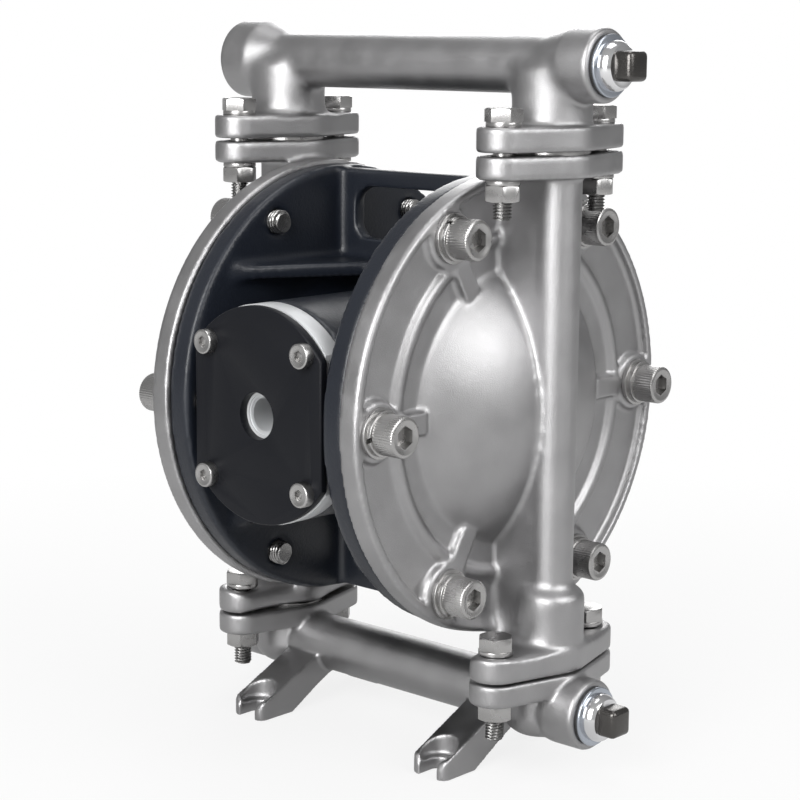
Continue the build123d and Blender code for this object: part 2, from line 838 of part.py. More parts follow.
def valve_cover_gasket():
    front = plate_front - plate_thickness
    disc = flatted_disc(plate_outline - loose, valve_flat - loose, front, gasket_thickness)
    return drilled(disc, front, valve_face, plate_hole)


def valve_body():
    disc = flatted_disc(valve_outline, valve_flat, valve_face, valve_flange)
    for hole in valve_screw_holes(valve_face, gasket_face):
        disc = disc - hole
    body = disc + bar_y(spigot_radius, -gasket_face - 1, -gasket_face + spigot_length)
    body = body - bar_y(air_thread, -valve_face - 1, -valve_face + air_thread_depth)
    body = body - bar_y(air_passage, -valve_face, -spool_place)
    body = body - bar_z(sleeve_radius + fitted, -spigot_radius - 1, spigot_radius + 1, 0, -spool_place)
    for level in (-chamber_way[1], 0, chamber_way[1]):
        body = body - bar_y(chamber_way_radius, -spool_place, -gasket_face + spigot_length + 1, 0, level)
    return body


def body_gasket():
    disc = flatted_disc(valve_outline - loose, valve_flat - loose, gasket_face, body_gasket_thickness)
    return drilled(disc, gasket_face, housing_front, spigot_radius + loose)


def valve_sleeve():
    sleeve = bar_z(sleeve_radius, -sleeve_half, sleeve_half, 0, -spool_place)
    sleeve = sleeve - bar_z(spool_radius + running, -sleeve_half - 1, sleeve_half + 1, 0, -spool_place)
    front, back = -spool_place - sleeve_radius - 1, -spool_place + sleeve_radius + 1
    for level in (-chamber_way[1], 0, chamber_way[1]):
        sleeve = sleeve - bar_y(chamber_way_radius, front, back, 0, level)
    return sleeve


def valve_spool():
    """A spool of three lands and two waists, resting on the lower cap."""
    points = [(0, -spool_half), (spool_radius, -spool_half)]
    for centre in (-spool_pitch, spool_pitch):
        points += [(spool_radius, centre - spool_gap / 2), (spool_waist, centre - spool_gap / 2)]
        points += [(spool_waist, centre + spool_gap / 2), (spool_radius, centre + spool_gap / 2)]
    points += [(spool_radius, spool_half), (0, spool_half)]
    return Pos(0, -spool_place, spool_half - sleeve_half + resting) * turned_z(points)


def sleeve_cap(side):
    start = side * sleeve_half
    return bar_z(sleeve_radius, start, start + side * cap_height, 0, -spool_place)


# Fasteners
def hexagon(across_flats, height):
    """A hexagonal prism along Z, standing on z = 0, with its upper corners turned off."""
    prism = extrude(RegularPolygon(across_flats / math.sqrt(3), 6), height)
    corner = across_flats / math.sqrt(3)
    slope = (corner - across_flats / 2) * math.tan(math.radians(hex_slope))
    face = across_flats / 2 - hex_face_step
    return prism & turned_z([(0, 0), (corner, 0), (corner, height - slope), (face, height), (0, height)])


def shank(radius, length):
    """A screw's shank, hanging from inside its head down to a chamfered tip."""
    start = radius / 8
    rim, tip = (radius, thread_tip - length), (radius - thread_tip, -length)
    return turned_z([(0, start), (radius, start), rim, tip, (0, -length)])


def cap_screw(radius, length, head_radius, head_height, socket):
    """A socket cap screw along Z with its head's underside at z = 0 and its shank below."""
    head = bar_z(head_radius, 0, head_height)
    rim = head.edges().filter_by(lambda edge: abs(edge.center().Z - head_height) < 0.01)
    screw = fillet(rim, screw_head_round) + shank(radius, length)
    hollow = extrude(RegularPolygon(socket / math.sqrt(3), 6), head_height)
    return screw - Pos(0, 0, head_height / 2) * hollow


def split_washer(outer, inner, thickness):
    """A spring washer: a ring with one slanting cut."""
    ring = bar_z(outer, 0, thickness) - bar_z(inner, -1, thickness + 1)
    cut = Rot(washer_cut_slant, 0, 0) * Box(outer, spring_washer_gap, 4 * thickness)
    return ring - Pos(outer, 0, thickness / 2) * cut


def to_cover_screw(shape, x):
    """Turns a piece drawn along Z to stand on the cover at the first screw."""
    return Pos(x, bolt_circle, 0) * Rot(0, 90, 0) * shape


def cover_screws():
    head = (cover_screw_head, cover_screw_head_height, cover_screw_socket)
    screw = cap_screw(cover_screw_radius, cover_screw_length, *head)
    return on_bolt_circle(to_cover_screw(screw, screw_seat))


def cover_flat_washers():
    washer = bar_z(flat_washer_radius, 0, flat_washer_thickness)
    washer = washer - bar_z(cover_screw_radius + loose, -1, flat_washer_thickness + 1)
    return on_bolt_circle(to_cover_screw(washer, boss_top))


def cover_spring_washers():
    washer = split_washer(spring_washer_radius, cover_screw_radius + snug, spring_washer_thickness)
    washer = Rot(0, 0, cover_washer_turn) * washer
    return on_bolt_circle(to_cover_screw(washer, boss_top + flat_washer_thickness))


def at_flange_bolts(shape):
    """Four copies of a piece, at the two bolts of the left and the right flange."""
    places = [(x, y) for x in (-riser_offset, riser_offset) for y in (-lobe_offset, lobe_offset)]
    return [Pos(x, y, 0) * shape for x, y in places]


def flange_bolts(seat, turn):
    """Hexagon bolts with their heads' undersides at the seat level, pointing down."""
    head = Rot(0, 0, turn) * hexagon(hex_across_flats, hex_head_height)
    bolt = head + shank(flange_bolt_radius, flange_bolt_length)
    return at_flange_bolts(Pos(0, 0, seat) * bolt)


def flange_nuts(seat):
    """Hexagon nuts hanging under the seat level."""
    nut = Rot(0, 0, hex_turn) * mirror(hexagon(hex_across_flats, hex_nut_height), Plane.XY)
    nut = nut - bar_z(flange_bolt_radius + fitted, -hex_nut_height - 1, 1)
    return at_flange_bolts(Pos(0, 0, seat) * nut)


def flange_washers(low):
    washer = split_washer(flange_washer_radius, flange_bolt_radius + snug, flange_washer_thickness)
    return at_flange_bolts(Pos(0, 0, low) * Rot(0, 0, flange_washer_turn) * washer)


def valve_screws():
    head = (valve_screw_head, valve_screw_head_height, valve_screw_socket)
    screw = Rot(90, 0, 0) * cap_screw(valve_screw_radius, valve_screw_length, *head)
    sides = (-valve_screw_place, valve_screw_place)
    return [Pos(x, -plate_front, z) * screw for x in sides for z in sides]


def port_plug(level):
    """A square-headed plug: thread, collar, rounded shoulder and square."""
    collar = port_face + plug_seal_height
    shoulder = collar + plug_collar_height
    square = shoulder + plug_shoulder_height
    plug = turned_x([
        (port_face - plug_length, 0),
        (port_face - plug_length, plug_thread - plug_edge),
        (port_face - plug_length + plug_edge, plug_thread),
        (collar, plug_thread),
        (collar, plug_collar),
        (shoulder, plug_collar - plug_round),
        (shoulder, plug_shoulder),
        (shoulder + plug_shoulder_height / 2, plug_shoulder - plug_round),
        (square, plug_neck),
        (square, 0),
    ])
    side = (-plug_square / 2, plug_square / 2)
    head = block((square - 1, square + plug_square_height), side, side)
    head = chamfer(head.faces().sort_by(Axis.X)[-1].edges(), plug_edge)
    return Pos(0, 0, level) * (plug + head)


def plug_seal(level):
    ring = bar_x(plug_collar - snug, port_face, port_face + plug_seal_height)
    ring = ring - bar_x(plug_thread + fitted, port_face - 1, port_face + plug_seal_height + 1)
    return Pos(0, 0, level) * ring


def all_pieces():
    """Every node's name with its solids."""
    cover = fluid_cover()
    outer, inner, sheet = outer_plate(), inner_plate(), diaphragm()
    ball = Sphere(ball_radius)
    seat_low = top_flange[1] - (seat_height - top_gap)
    inlet_low = inlet_flange[1] - (seat_height - bottom_gap)
    outlet_seal = ring_z(seat_seal_radius, seal_section - fitted, seat_low + seal_section)
    inlet_seal = ring_z(seat_seal_radius, seal_section - fitted, inlet_low + seal_section)
    screws, flat_washers, spring_washers = cover_screws(), cover_flat_washers(), cover_spring_washers()
    top_seat = outlet_flange[1] + flange_washer_thickness
    bottom_seat = bottom_flange[1] + flange_washer_thickness
    return {
        "centre_body": [centre_body()],
        "right_fluid_cover": [cover],
        "left_fluid_cover": [mirrored(cover)],
        "outlet_manifold": [outlet_manifold()],
        "inlet_manifold": [inlet_manifold()],
        "right_diaphragm": [sheet],
        "left_diaphragm": [mirrored(sheet)],
        "right_inner_plate": [inner],
        "left_inner_plate": [mirrored(inner)],
        "right_outer_plate": [outer],
        "left_outer_plate": [mirrored(outer)],
        "diaphragm_shaft": [diaphragm_shaft()],
        "shaft_bushes": [shaft_bush(), mirrored(shaft_bush())],
        "shaft_seals": [shaft_seal(), mirrored(shaft_seal())],
        "pilot_rod": [pilot_rod()],
        "pilot_rod_seals": [pilot_seal(-1), pilot_seal(1)],
        "valve_cover": [valve_cover()],
        "valve_cover_gasket": [valve_cover_gasket()],
        "valve_body": [valve_body()],
        "valve_body_gasket": [body_gasket()],
        "valve_sleeve": [valve_sleeve()],
        "valve_spool": [valve_spool()],
        "sleeve_caps": [sleeve_cap(-1), sleeve_cap(1)],
        "outlet_ball_left": [Pos(-riser_offset, 0, outlet_ball_level) * ball],
        "outlet_ball_right": [Pos(riser_offset, 0, outlet_ball_level) * ball],
        "inlet_ball_left": [Pos(-riser_offset, 0, inlet_ball_level) * ball],
        "inlet_ball_right": [Pos(riser_offset, 0, inlet_ball_level) * ball],
        "outlet_seats": at_both_risers(valve_seat(outlet_flange[0])),
        "inlet_seats": at_both_risers(valve_seat(bottom_flange[0])),
        "outlet_seat_seals": at_both_risers(outlet_seal),
        "inlet_seat_seals": at_both_risers(inlet_seal),
        "right_cover_screws": screws,
        "left_cover_screws": [mirrored(piece) for piece in screws],
        "right_cover_flat_washers": flat_washers,
        "left_cover_flat_washers": [mirrored(piece) for piece in flat_washers],
        "right_cover_spring_washers": spring_washers,
        "left_cover_spring_washers": [mirrored(piece) for piece in spring_washers],
        "outlet_flange_bolts": flange_bolts(top_seat, top_head_turn),
        "outlet_flange_head_washers": flange_washers(outlet_flange[1]),
        "outlet_flange_nut_washers": flange_washers(top_flange[0] - flange_washer_thickness),
        "outlet_flange_nuts": flange_nuts(top_flange[0] - flange_washer_thickness),
        "inlet_flange_bolts": flange_bolts(bottom_seat, hex_turn),
        "inlet_flange_washers": flange_washers(bottom_flange[1]),
        "inlet_flange_nuts": flange_nuts(inlet_flange[0]),
        "valve_cover_screws": valve_screws(),
        "outlet_plug": [port_plug(outlet_level)],
        "inlet_plug": [port_plug(inlet_level)],
        "outlet_plug_seal": [plug_seal(outlet_level)],
        "inlet_plug_seal": [plug_seal(inlet_level)],
    }


os.makedirs("parts", exist_ok=True)
for name, solids in all_pieces().items():
    lifted = [solid.moved(Location((0, 0, axis_height))) for solid in solids]
    whole = lifted[0] if len(lifted) == 1 else Compound(children=lifted)
    export_step(whole, f"parts/{name}.step")
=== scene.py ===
import bpy
import json
import math
from mathutils import Matrix, Vector


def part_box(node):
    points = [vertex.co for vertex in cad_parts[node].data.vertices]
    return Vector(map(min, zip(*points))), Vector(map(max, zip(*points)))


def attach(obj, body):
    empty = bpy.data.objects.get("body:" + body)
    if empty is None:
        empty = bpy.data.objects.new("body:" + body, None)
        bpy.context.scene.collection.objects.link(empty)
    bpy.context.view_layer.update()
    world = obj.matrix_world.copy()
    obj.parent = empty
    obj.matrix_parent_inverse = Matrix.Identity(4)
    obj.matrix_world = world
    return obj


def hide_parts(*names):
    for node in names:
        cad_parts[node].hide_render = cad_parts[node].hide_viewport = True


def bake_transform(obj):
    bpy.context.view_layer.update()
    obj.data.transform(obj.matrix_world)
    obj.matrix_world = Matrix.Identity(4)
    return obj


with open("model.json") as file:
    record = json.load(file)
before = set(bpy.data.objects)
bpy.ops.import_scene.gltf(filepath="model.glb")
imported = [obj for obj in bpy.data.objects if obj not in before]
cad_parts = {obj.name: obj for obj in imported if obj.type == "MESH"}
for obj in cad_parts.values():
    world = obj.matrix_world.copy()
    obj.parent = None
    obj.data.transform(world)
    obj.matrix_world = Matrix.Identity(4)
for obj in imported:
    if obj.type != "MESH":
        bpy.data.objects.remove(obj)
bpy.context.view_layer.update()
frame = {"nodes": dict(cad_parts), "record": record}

# The camera stands at the front right of the pump, a little above its shaft, and looks
# along the line that the picture was taken on. The pump's shaft runs away to the left.
shaft_height = 0.1466
camera_data = bpy.data.cameras.new("front_right_camera")
camera_data.lens = 92.1
camera_data.sensor_width = 36.0
camera_data.clip_end = 30.0
camera = bpy.data.objects.new("front_right_camera", camera_data)
bpy.context.scene.collection.objects.link(camera)
turn, rise, roll = math.radians(42.416), math.radians(10.158), math.radians(0.393)
back = Vector((math.sin(turn) * math.cos(rise), -math.cos(turn) * math.cos(rise), math.sin(rise)))
right = Vector((math.cos(turn), math.sin(turn), 0.0))
up = back.cross(right)
right_rolled = math.cos(roll) * right + math.sin(roll) * up
up_rolled = -math.sin(roll) * right + math.cos(roll) * up
camera_place = Vector((0.57257, -0.63336, 0.14792 + shaft_height))
stand = Matrix((right_rolled, up_rolled, back)).transposed().to_4x4()
stand.translation = camera_place
camera.matrix_world = stand
bpy.context.scene.camera = camera
bpy.context.scene.view_settings.view_transform = "Standard"


# The floor is a large sheet of white paper. It shows white, and keeps a soft shadow under
# the pump's feet and lower manifold.
def new_material(name):
    """A material with its node tree emptied, and its output node."""
    material = bpy.data.materials.new(name)
    material.use_nodes = True
    nodes = material.node_tree.nodes
    nodes.clear()
    return material, nodes, material.node_tree.links, nodes.new("ShaderNodeOutputMaterial")


def seen_as_white(nodes, links):
    """How much of a white surface a ray sees: the camera all of it, a mirror only a share.
    Gives that value and the socket that takes the mirror's share."""
    rays = nodes.new("ShaderNodeLightPath")
    mirrored = nodes.new("ShaderNodeMath")
    mirrored.operation = "MULTIPLY_ADD"
    links.new(rays.outputs["Is Glossy Ray"], mirrored.inputs[0])
    links.new(rays.outputs["Is Transmission Ray"], mirrored.inputs[2])
    direct = nodes.new("ShaderNodeMath")
    direct.operation = "ADD"
    direct.use_clamp = True
    links.new(rays.outputs["Is Camera Ray"], direct.inputs[0])
    links.new(mirrored.outputs[0], direct.inputs[1])
    return direct.outputs[0], mirrored.inputs[1]


bpy.ops.object.select_all(action="DESELECT")
bpy.ops.mesh.primitive_plane_add(size=12.0, location=(0.0, 0.0, -0.0003))
floor = bpy.context.object
floor.name = "paper_floor"
paper, nodes, links, output = new_material("white_paper")
matt = nodes.new("ShaderNodeBsdfDiffuse")
matt.inputs["Color"].default_value = (0.52, 0.52, 0.52, 1.0)
glow = nodes.new("ShaderNodeEmission")
glow.inputs["Color"].default_value = (1.0, 1.0, 1.0, 1.0)
blend = nodes.new("ShaderNodeMixShader")
spot = nodes.new("ShaderNodeTexCoord")
reach = nodes.new("ShaderNodeVectorMath")
reach.operation = "LENGTH"
links.new(spot.outputs["Object"], reach.inputs[0])
fade = nodes.new("ShaderNodeMapRange")
fade.inputs["From Min"].default_value = 0.12
fade.inputs["From Max"].default_value = 0.55
fade.inputs["To Min"].default_value = 0.84
fade.inputs["To Max"].default_value = 1.0
links.new(reach.outputs["Value"], fade.inputs["Value"])
seen, share_in_mirrors = seen_as_white(nodes, links)
share_in_mirrors.default_value = 0.2
share = nodes.new("ShaderNodeMath")
share.operation = "MULTIPLY"
links.new(seen, share.inputs[0])
links.new(fade.outputs["Result"], share.inputs[1])
links.new(share.outputs[0], blend.inputs["Fac"])
links.new(matt.outputs[0], blend.inputs[1])
links.new(glow.outputs[0], blend.inputs[2])
links.new(blend.outputs[0], output.inputs["Surface"])
floor.data.materials.append(paper)


# Soft studio light: a large lamp in front, one high on the right that shines along the cover's
# face, a small one overhead and a dim one behind. The room is pale in front and grey behind,
# with a white backdrop that the camera sees and polished metal mirrors.
world = bpy.data.worlds.new("white_room")
bpy.context.scene.world = world
world.use_nodes = True
nodes, links = world.node_tree.nodes, world.node_tree.links
nodes.clear()
sky_output = nodes.new("ShaderNodeOutputWorld")
room = nodes.new("ShaderNodeBackground")
direction = nodes.new("ShaderNodeTexCoord")
toward = nodes.new("ShaderNodeVectorMath")
toward.operation = "DOT_PRODUCT"
toward.inputs[1].default_value = (0.5, -0.78, 0.37)
links.new(direction.outputs["Generated"], toward.inputs[0])
facing = nodes.new("ShaderNodeMapRange")
facing.inputs["From Min"].default_value = -0.6
facing.inputs["From Max"].default_value = 1.0
links.new(toward.outputs["Value"], facing.inputs["Value"])
shade = nodes.new("ShaderNodeValToRGB")
shade.color_ramp.elements[0].position = 0.0
shade.color_ramp.elements[0].color = (0.36, 0.36, 0.365, 1.0)
shade.color_ramp.elements[1].position = 1.0
shade.color_ramp.elements[1].color = (0.66, 0.66, 0.655, 1.0)
links.new(facing.outputs["Result"], shade.inputs["Fac"])
links.new(shade.outputs["Color"], room.inputs["Color"])
room.inputs["Strength"].default_value = 0.85
white = nodes.new("ShaderNodeBackground")
white.inputs["Color"].default_value = (1.0, 1.0, 1.0, 1.0)
white.inputs["Strength"].default_value = 1.0
behind = nodes.new("ShaderNodeVectorMath")
behind.operation = "DOT_PRODUCT"
behind.inputs[1].default_value = (-0.67, 0.74, 0.0)
links.new(direction.outputs["Generated"], behind.inputs[0])
backdrop = nodes.new("ShaderNodeMapRange")
backdrop.inputs["From Min"].default_value = 0.8
backdrop.inputs["From Max"].default_value = 1.0
links.new(behind.outputs["Value"], backdrop.inputs["Value"])
seen, share_in_mirrors = seen_as_white(nodes, links)
links.new(backdrop.outputs["Result"], share_in_mirrors)
choose = nodes.new("ShaderNodeMixShader")
links.new(seen, choose.inputs["Fac"])
links.new(room.outputs[0], choose.inputs[1])
links.new(white.outputs[0], choose.inputs[2])
links.new(choose.outputs[0], sky_output.inputs["Surface"])


def soft_lamp(name, place, size, watts):
    """A rectangular studio lamp that points at the middle of the pump."""
    lamp_data = bpy.data.lights.new(name, "AREA")
    lamp_data.shape = "RECTANGLE"
    lamp_data.size, lamp_data.size_y = size
    lamp_data.energy = watts
    lamp = bpy.data.objects.new(name, lamp_data)
    lamp.location = place
    lamp.rotation_euler = (pump_middle - Vector(place)).to_track_quat("-Z", "Y").to_euler()
    bpy.context.scene.collection.objects.link(lamp)


pump_middle = Vector((0.0, 0.0, 0.15))
soft_lamp("key_lamp", place=(0.3, -1.25, 0.66), size=(0.8, 1.1), watts=25.0)
soft_lamp("side_lamp", place=(1.06, 0.05, 0.8), size=(0.85, 0.75), watts=10.5)
soft_lamp("top_lamp", place=(0.0, 0.1, 1.3), size=(0.6, 0.5), watts=3.5)
soft_lamp("back_lamp", place=(-0.7, 0.9, 0.7), size=(0.6, 0.8), watts=6.0)


# Castings: two fluid covers and two manifolds, investment cast in stainless steel and
# blasted with beads, so that every corner is soft and the skin has a fine even grain.
def grain_group():
    """Fine grain, coarse undulation and slow drift, read at one scale."""
    group = bpy.data.node_groups.new("surface_grain", "ShaderNodeTree")
    face = group.interface
    face.new_socket("Place", in_out="INPUT", socket_type="NodeSocketVector")
    face.new_socket("Fine Scale", in_out="INPUT", socket_type="NodeSocketFloat")
    face.new_socket("Coarse Scale", in_out="INPUT", socket_type="NodeSocketFloat")
    face.new_socket("Height", in_out="OUTPUT", socket_type="NodeSocketFloat")
    face.new_socket("Drift", in_out="OUTPUT", socket_type="NodeSocketFloat")
    nodes, links = group.nodes, group.links
    start, end = nodes.new("NodeGroupInput"), nodes.new("NodeGroupOutput")
    fine, coarse, drift = [nodes.new("ShaderNodeTexNoise") for _ in range(3)]
    fine.inputs["Detail"].default_value = 3.0
    fine.inputs["Roughness"].default_value = 0.65
    coarse.inputs["Detail"].default_value = 2.0
    drift.inputs["Detail"].default_value = 4.0
    for noise in (fine, coarse, drift):
        links.new(start.outputs["Place"], noise.inputs["Vector"])
    links.new(start.outputs["Fine Scale"], fine.inputs["Scale"])
    links.new(start.outputs["Coarse Scale"], coarse.inputs["Scale"])
    slower = nodes.new("ShaderNodeMath")
    slower.operation = "MULTIPLY"
    slower.inputs[1].default_value = 0.3
    links.new(start.outputs["Coarse Scale"], slower.inputs[0])
    links.new(slower.outputs[0], drift.inputs["Scale"])
    mixed = nodes.new("ShaderNodeMath")
    mixed.operation = "MULTIPLY_ADD"
    mixed.inputs[1].default_value = 0.45
    links.new(coarse.outputs["Fac"], mixed.inputs[0])
    links.new(fine.outputs["Fac"], mixed.inputs[2])
    links.new(mixed.outputs[0], end.inputs["Height"])
    links.new(drift.outputs["Fac"], end.inputs["Drift"])
    return group


def edge_group():
    """Masks of the outer edges and the inner corners of a skin with even faces: the edges take wear and a
    painted highlight, the corners painted shade.
    """
    group = bpy.data.node_groups.new("edges_and_corners", "ShaderNodeTree")
    face = group.interface
    face.new_socket("Break Up", in_out="INPUT", socket_type="NodeSocketFloat")
    face.new_socket("Edge", in_out="OUTPUT", socket_type="NodeSocketFloat")
    face.new_socket("Corner", in_out="OUTPUT", socket_type="NodeSocketFloat")
    nodes, links = group.nodes, group.links
    start, end = nodes.new("NodeGroupInput"), nodes.new("NodeGroupOutput")
    shape = nodes.new("ShaderNodeNewGeometry")
    for name, low, high in (("Edge", 0.53, 0.62), ("Corner", 0.47, 0.38)):
        span = nodes.new("ShaderNodeMapRange")
        span.inputs["From Min"].default_value = low
        span.inputs["From Max"].default_value = high
        links.new(shape.outputs["Pointiness"], span.inputs["Value"])
        patchy = nodes.new("ShaderNodeMath")
        patchy.operation = "MULTIPLY"
        links.new(span.outputs["Result"], patchy.inputs[0])
        links.new(start.outputs["Break Up"], patchy.inputs[1])
        links.new(patchy.outputs[0], end.inputs[name])
    return group


surface_grain = grain_group()
edges_and_corners = edge_group()


def finish(
    name, base, wear_and_highlight, painted_corner_shade, metallic, rough, scales, bump,
    edge_amount=1.0, rough_drift=0.12, mirror=0.5,
):
    """A finish with grain, drift, edges lighter for wear and a painted highlight, and painted shade in the
    inner corners, from its own values.
    scales is the fine and the coarse grain's, and bump is the relief's strength and height."""
    material, nodes, links, output = new_material(name)
    skin = nodes.new("ShaderNodeBsdfPrincipled")
    links.new(skin.outputs[0], output.inputs["Surface"])
    skin.inputs["Metallic"].default_value = metallic
    skin.inputs["Specular IOR Level"].default_value = mirror
    place = nodes.new("ShaderNodeTexCoord")
    grain = nodes.new("ShaderNodeGroup")
    grain.node_tree = surface_grain
    links.new(place.outputs["Object"], grain.inputs["Place"])
    grain.inputs["Fine Scale"].default_value = scales[0]
    grain.inputs["Coarse Scale"].default_value = scales[1]
    edges = nodes.new("ShaderNodeGroup")
    edges.node_tree = edges_and_corners
    # One strength drives both masks: wear with a painted highlight on the edges, painted shade in the inner
    # corners
    least_mark_strength = 0.45
    patch = nodes.new("ShaderNodeMapRange")
    patch.inputs["From Min"].default_value = 0.35
    patch.inputs["From Max"].default_value = 0.65
    patch.inputs["To Min"].default_value = least_mark_strength * edge_amount
    patch.inputs["To Max"].default_value = edge_amount
    links.new(grain.outputs["Drift"], patch.inputs["Value"])
    links.new(patch.outputs["Result"], edges.inputs["Break Up"])

    # Colour: the base drifts slowly, lighter on edges for wear and a painted highlight, and darker in inner
    # corners with painted shade
    darker, lighter = 0.86, 1.12
    tone = nodes.new("ShaderNodeMix")
    tone.data_type = "RGBA"
    tone.inputs["A"].default_value = (*[channel * darker for channel in base], 1.0)
    tone.inputs["B"].default_value = (*[min(channel * lighter, 1.0) for channel in base], 1.0)
    links.new(grain.outputs["Drift"], tone.inputs["Factor"])
    corner = nodes.new("ShaderNodeMix")
    corner.data_type = "RGBA"
    corner.inputs["B"].default_value = (*painted_corner_shade, 1.0)
    links.new(edges.outputs["Corner"], corner.inputs["Factor"])
    links.new(tone.outputs["Result"], corner.inputs["A"])
    rubbed_and_highlit = nodes.new("ShaderNodeMix")
    rubbed_and_highlit.data_type = "RGBA"
    rubbed_and_highlit.inputs["B"].default_value = (*wear_and_highlight, 1.0)
    links.new(edges.outputs["Edge"], rubbed_and_highlit.inputs["Factor"])
    links.new(corner.outputs["Result"], rubbed_and_highlit.inputs["A"])
    links.new(rubbed_and_highlit.outputs["Result"], skin.inputs["Base Color"])

    # Roughness: drifts slowly, and edges are a little smoother
    least_rough = 0.05
    gloss = nodes.new("ShaderNodeMapRange")
    gloss.inputs["To Min"].default_value = max(rough - rough_drift, least_rough)
    gloss.inputs["To Max"].default_value = rough + rough_drift
    links.new(grain.outputs["Drift"], gloss.inputs["Value"])
    edge_polish = 0.12
    polished = nodes.new("ShaderNodeMath")
    polished.operation = "MULTIPLY_ADD"
    polished.inputs[1].default_value = -edge_polish
    links.new(edges.outputs["Edge"], polished.inputs[0])
    links.new(gloss.outputs["Result"], polished.inputs[2])
    links.new(polished.outputs[0], skin.inputs["Roughness"])

    # Relief: the grain itself
    relief = nodes.new("ShaderNodeBump")
    relief.inputs["Strength"].default_value = bump[0]
    relief.inputs["Distance"].default_value = bump[1]
    links.new(grain.outputs["Height"], relief.inputs["Height"])
    links.new(relief.outputs["Normal"], skin.inputs["Normal"])
    return material


def dress(piece, material):
    """Gives a piece one material all over."""
    piece.data.materials.clear()
    piece.data.materials.append(material)
    for polygon in piece.data.polygons:
        polygon.material_index = 0


# Its light edge colour stands for wear and a painted highlight; its dark corner colour is painted shade in
# the inner corners
cast_stainless = finish(
    "cast_stainless", base=(0.335, 0.332, 0.336), wear_and_highlight=(0.74, 0.735, 0.74), painted_corner_shade=(0.14, 0.138, 0.14),
    metallic=1.0, rough=0.41, scales=(2200.0, 240.0), bump=(0.36, 0.0003),
)


def pick(*objects):
    """Leaves only these objects selected, with the first one active."""
    bpy.ops.object.select_all(action="DESELECT")
    for item in objects:
        item.select_set(True)
    bpy.context.view_layer.objects.active = objects[0]


def own_copy(node, name):
    """A welded copy of a CAD node's mesh, as a separate piece at the origin."""
    piece = bpy.data.objects.new(name, frame["nodes"][node].data.copy())
    bpy.context.scene.collection.objects.link(piece)
    pick(piece)
    if piece.data.has_custom_normals:
        bpy.ops.mesh.customdata_custom_splitnormals_clear()
    bpy.ops.object.mode_set(mode="EDIT")
    bpy.ops.mesh.select_all(action="SELECT")
    bpy.ops.mesh.remove_doubles(threshold=0.000002)
    bpy.ops.object.mode_set(mode="OBJECT")
    return piece


def apply_modifier(piece, kind, **settings):
    """Adds one modifier with its settings and applies it."""
    pick(piece)
    modifier = piece.modifiers.new(kind.lower(), kind)
    for key, value in settings.items():
        setattr(modifier, key, value)
    bpy.ops.object.modifier_apply(modifier=modifier.name)


def softened_casting(node, name, material, cell, passes, blends=()):
    """A casting's skin rebuilt in even faces and eased, so that its corners round as cast.
    Each blend is a ball, by its centre and radius, in which the shapes run into each other."""
    piece = own_copy(node, name)
    apply_modifier(piece, "REMESH", mode="VOXEL", voxel_size=cell, use_smooth_shade=True)
    if blends:
        steepness, melt_width = 2.5, 0.0114
        melted = piece.vertex_groups.new(name="melted")
        for point in piece.data.vertices:
            depth = max(1.0 - (point.co - Vector(centre)).length / radius for centre, radius in blends)
            if depth > 0.0:
                melted.add([point.index], min(steepness * depth, 1.0), "REPLACE")
        rounds = round((melt_width / cell) ** 2)
        apply_modifier(piece, "SMOOTH", factor=0.5, iterations=rounds, vertex_group="melted")
        piece.vertex_groups.clear()
    apply_modifier(piece, "SMOOTH", factor=0.5, iterations=passes)
    dress(piece, material)
    pick(piece)
    bpy.ops.object.shade_smooth()
    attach(piece, "pump_body")
    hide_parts(node)


def blend_balls(across, spread, level, radius):
    """Balls in front of and behind the shaft, at these places across the pump."""
    return [((x, y, level), radius) for x in across for y in (-spread, spread)]


riser_offset, cover_cell, manifold_cell = 0.0732, 0.00109, 0.0008
riser_foot, neck_offset = riser_offset - 0.009, 0.0705
castings = {
    "right_fluid_cover": (cover_cell, blend_balls([riser_foot], spread=0.016, level=0.056, radius=0.025)),
    "left_fluid_cover": (cover_cell, blend_balls([-riser_foot], spread=0.016, level=0.056, radius=0.025)),
    "outlet_manifold": (
        manifold_cell, blend_balls([-neck_offset, neck_offset], spread=0.011, level=0.272, radius=0.019)
    ),
    "inlet_manifold": (manifold_cell, []),
}
for node, (cell, blends) in castings.items():
    softened_casting(node, node + "_casting", cast_stainless, cell, passes=2, blends=blends)


# Cover screws: six M10 socket cap screws hold each cover. Each is turned from stainless
# bar, with a knurled drum head, a hexagon socket with a drilled bottom and a rolled thread.
def drum(sides, radius, low, high):
    """A closed drum about Z between two levels."""
    bpy.ops.object.select_all(action="DESELECT")
    bpy.ops.mesh.primitive_cylinder_add(
        vertices=sides, radius=radius, depth=high - low, location=(0.0, 0.0, (low + high) / 2)
    )
    bpy.ops.object.transform_apply(location=True)
    return bpy.context.object


def select_faces(piece, test):
    """Goes into edit mode with only the faces that pass the test selected."""
    pick(piece)
    bpy.ops.object.mode_set(mode="EDIT")
    bpy.ops.mesh.select_mode(type="FACE")
    bpy.ops.mesh.select_all(action="DESELECT")
    bpy.ops.object.mode_set(mode="OBJECT")
    for face in piece.data.polygons:
        face.select = test(face.center, face.normal)
    bpy.ops.object.mode_set(mode="EDIT")


def select_edges(piece, test):
    """Goes into edit mode with only the edges whose two ends pass the test selected."""
    pick(piece)
    bpy.ops.object.mode_set(mode="EDIT")
    bpy.ops.mesh.select_mode(type="EDGE")
    bpy.ops.mesh.select_all(action="DESELECT")
    bpy.ops.object.mode_set(mode="OBJECT")
    points = piece.data.vertices
    for edge in piece.data.edges:
        start, end = [points[index].co for index in edge.vertices]
        edge.select = test(start, end)
    bpy.ops.object.mode_set(mode="EDIT")


